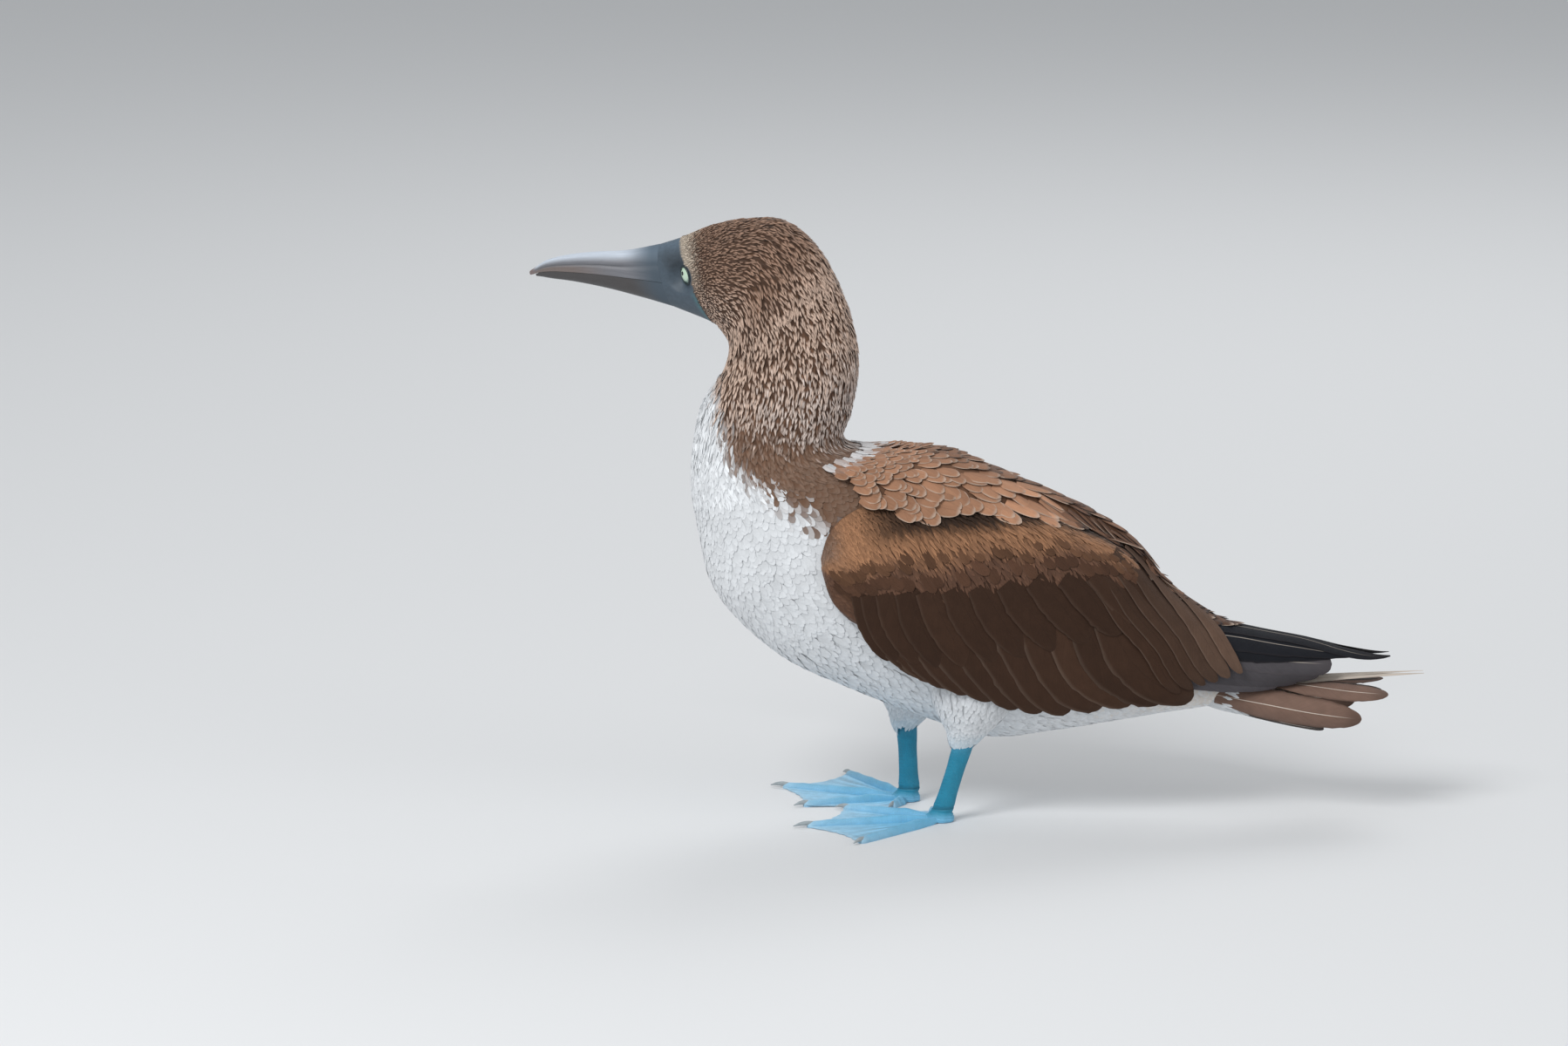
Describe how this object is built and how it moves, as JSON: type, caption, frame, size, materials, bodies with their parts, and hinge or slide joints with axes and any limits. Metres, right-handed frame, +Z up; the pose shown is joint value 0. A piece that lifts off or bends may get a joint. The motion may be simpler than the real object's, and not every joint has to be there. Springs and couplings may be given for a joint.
{
  "type": "blue-footed booby",
  "caption": "Standing seabird with a long pointed bill, folded wings, a pointed tail and large webbed feet, as a still life-size model.",
  "frame": {"origin": "on the floor, under the middle of the bird's bounding box", "axes": "-X is where the body faces, -Y is the bird's left side, +Z is up"},
  "size_m": [0.6336, 0.2296, 0.4259],
  "materials": {
    "streaked_feathers": "matt plumage, dark brown streaked with buff white",
    "white_feathers": "matt white plumage",
    "brown_feathers": "matt brown plumage with paler feather edges",
    "tail_feathers": "taupe tail feathers, the middle pair cream",
    "bill_horn": "blue-grey horn with a soft sheen",
    "eye_glass": "pale yellow-green iris and dark pupil under a clear wet surface",
    "leg_skin": "turquoise skin with fine plates",
    "foot_skin": "bright blue webbed skin"
  },
  "bodies": {
    "root": {"head": "streaked_feathers", "neck": "streaked_feathers", "torso": "white_feathers", "mantle": "brown_feathers", "wing_left": "brown_feathers", "wing_right": "brown_feathers", "tail": "tail_feathers", "upper_bill": "bill_horn", "lower_bill": "bill_horn", "eye_left": "eye_glass", "eye_right": "eye_glass", "leg_left": "leg_skin", "leg_right": "leg_skin", "foot_left": "foot_skin", "foot_right": "foot_skin"}
  },
  "joints": []
}
